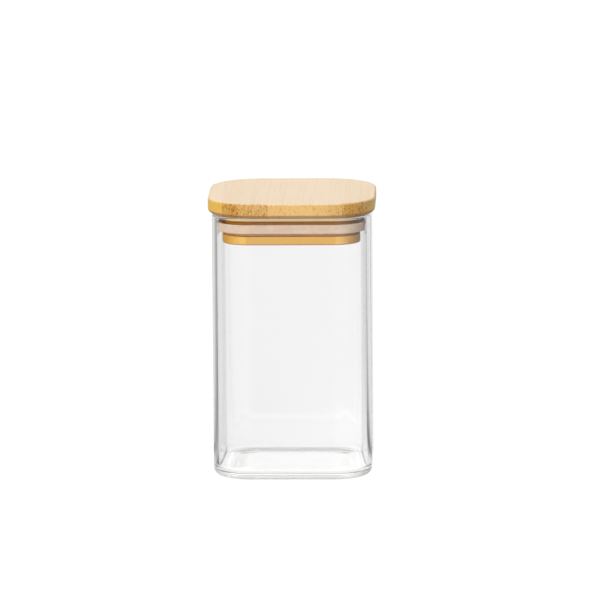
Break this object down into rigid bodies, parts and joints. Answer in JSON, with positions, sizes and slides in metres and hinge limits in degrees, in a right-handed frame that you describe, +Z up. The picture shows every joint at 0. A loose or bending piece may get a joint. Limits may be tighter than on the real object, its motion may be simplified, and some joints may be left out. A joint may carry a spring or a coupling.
{
  "type": "spice jar",
  "caption": "Square clear glass jar with rounded corners and a lift-off bamboo lid: a board, a plug that hangs in the mouth, and a translucent two-lipped seal round the plug.",
  "frame": {"origin": "on the surface that the jar stands on, under the middle of the jar", "axes": "+Z up through the lid; X and Y square to the jar's flat sides, with -Y the side that shows the board's end grain"},
  "size_m": [0.0684, 0.0684, 0.115],
  "materials": {
    "clear_glass": "clear, fire-polished, faintly wavy",
    "bamboo_board": "sanded bamboo laminate, matte, pale on the faces and darker on the end grain",
    "bamboo_plug": "sanded bamboo laminate, matte, long grain",
    "silicone_seal": "translucent silicone, satin"
  },
  "bodies": {
    "jar": {"glass_jar": "clear_glass"},
    "lid": {"lid_board": "bamboo_board", "lid_plug": "bamboo_plug", "seal_ring": "silicone_seal"}
  },
  "joints": [
    {"name": "lid_lift", "type": "slide", "parent": "jar", "child": "lid", "axis": [0, 0, 1], "range_m": [0, 0.05]}
  ]
}
